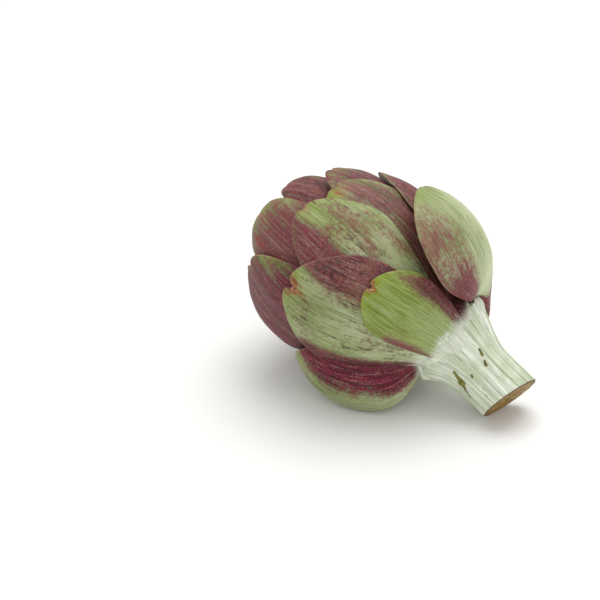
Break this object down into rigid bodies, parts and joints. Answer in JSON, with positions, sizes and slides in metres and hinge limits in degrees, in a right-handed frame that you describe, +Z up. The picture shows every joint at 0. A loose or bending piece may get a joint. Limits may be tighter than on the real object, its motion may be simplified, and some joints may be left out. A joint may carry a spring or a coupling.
{
  "type": "artichoke",
  "caption": "Purple globe artichoke lying on its side: a closed head of overlapping green and purple bracts on a short, ribbed, obliquely cut stem.",
  "frame": {"origin": "On the table under the middle of the part's bounding box, as it lies.", "axes": "+Z up. +X runs from the head towards the cut stem, +Y to the far side as the picture is seen. The head's tip points to -X and upwards."},
  "size_m": [0.137, 0.0943, 0.0958],
  "materials": {
    "stem": "pale green ribbed skin with fine darker streaks, brown at the cut end",
    "green_bract": "satin grey-green leaf, purple along its edges, with a small brown-red scar at the tip",
    "purple_bract": "satin purple leaf with green streaks along its middle and a yellow-green tip",
    "inner_bract": "satin dull purple and green leaf, paler towards its root"
  },
  "bodies": {
    "root": {"stem": "stem", "bract_01": "green_bract", "bract_02": "green_bract", "bract_03": "green_bract", "bract_04": "green_bract", "bract_05": "green_bract", "bract_06": "green_bract", "bract_07": "green_bract", "bract_08": "purple_bract", "bract_09": "purple_bract", "bract_10": "purple_bract", "bract_11": "purple_bract", "bract_12": "purple_bract", "bract_13": "purple_bract", "bract_14": "purple_bract", "bract_15": "purple_bract", "bract_16": "purple_bract", "bract_17": "purple_bract", "bract_18": "purple_bract", "bract_19": "purple_bract", "bract_20": "purple_bract", "bract_21": "purple_bract", "bract_22": "purple_bract", "bract_23": "purple_bract", "bract_24": "purple_bract", "bract_25": "purple_bract", "bract_26": "purple_bract", "bract_27": "purple_bract", "bract_28": "purple_bract", "inner_bracts": "inner_bract"}
  },
  "joints": []
}
